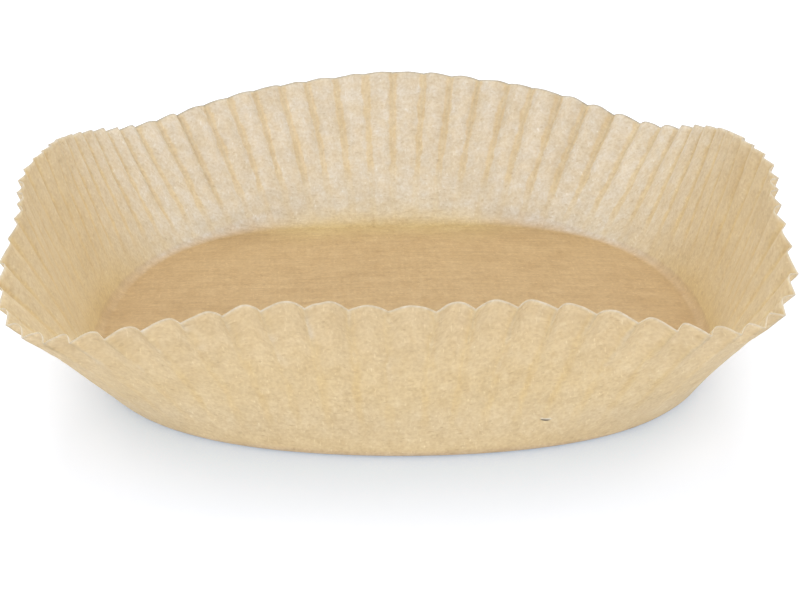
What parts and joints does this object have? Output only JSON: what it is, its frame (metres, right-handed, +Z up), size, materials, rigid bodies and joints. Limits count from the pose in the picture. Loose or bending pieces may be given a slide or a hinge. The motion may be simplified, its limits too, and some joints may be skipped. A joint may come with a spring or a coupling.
{
  "type": "baking paper bowl",
  "caption": "Round bowl pressed from one sheet of unbleached baking paper: flat floor, pleated wall and a wavy cut rim pulled slightly square.",
  "frame": {"origin": "centre of the underside, on the surface that the bowl stands on", "axes": "+Z up out of the bowl, -Y towards the front, +X to the right"},
  "size_m": [0.1843, 0.1955, 0.0439],
  "materials": {
    "baking_paper": "unbleached greaseproof baking paper, matt with a faint silky sheen, translucent, with fine fibres"
  },
  "bodies": {
    "root": {"paper_bowl": "baking_paper"}
  },
  "joints": []
}
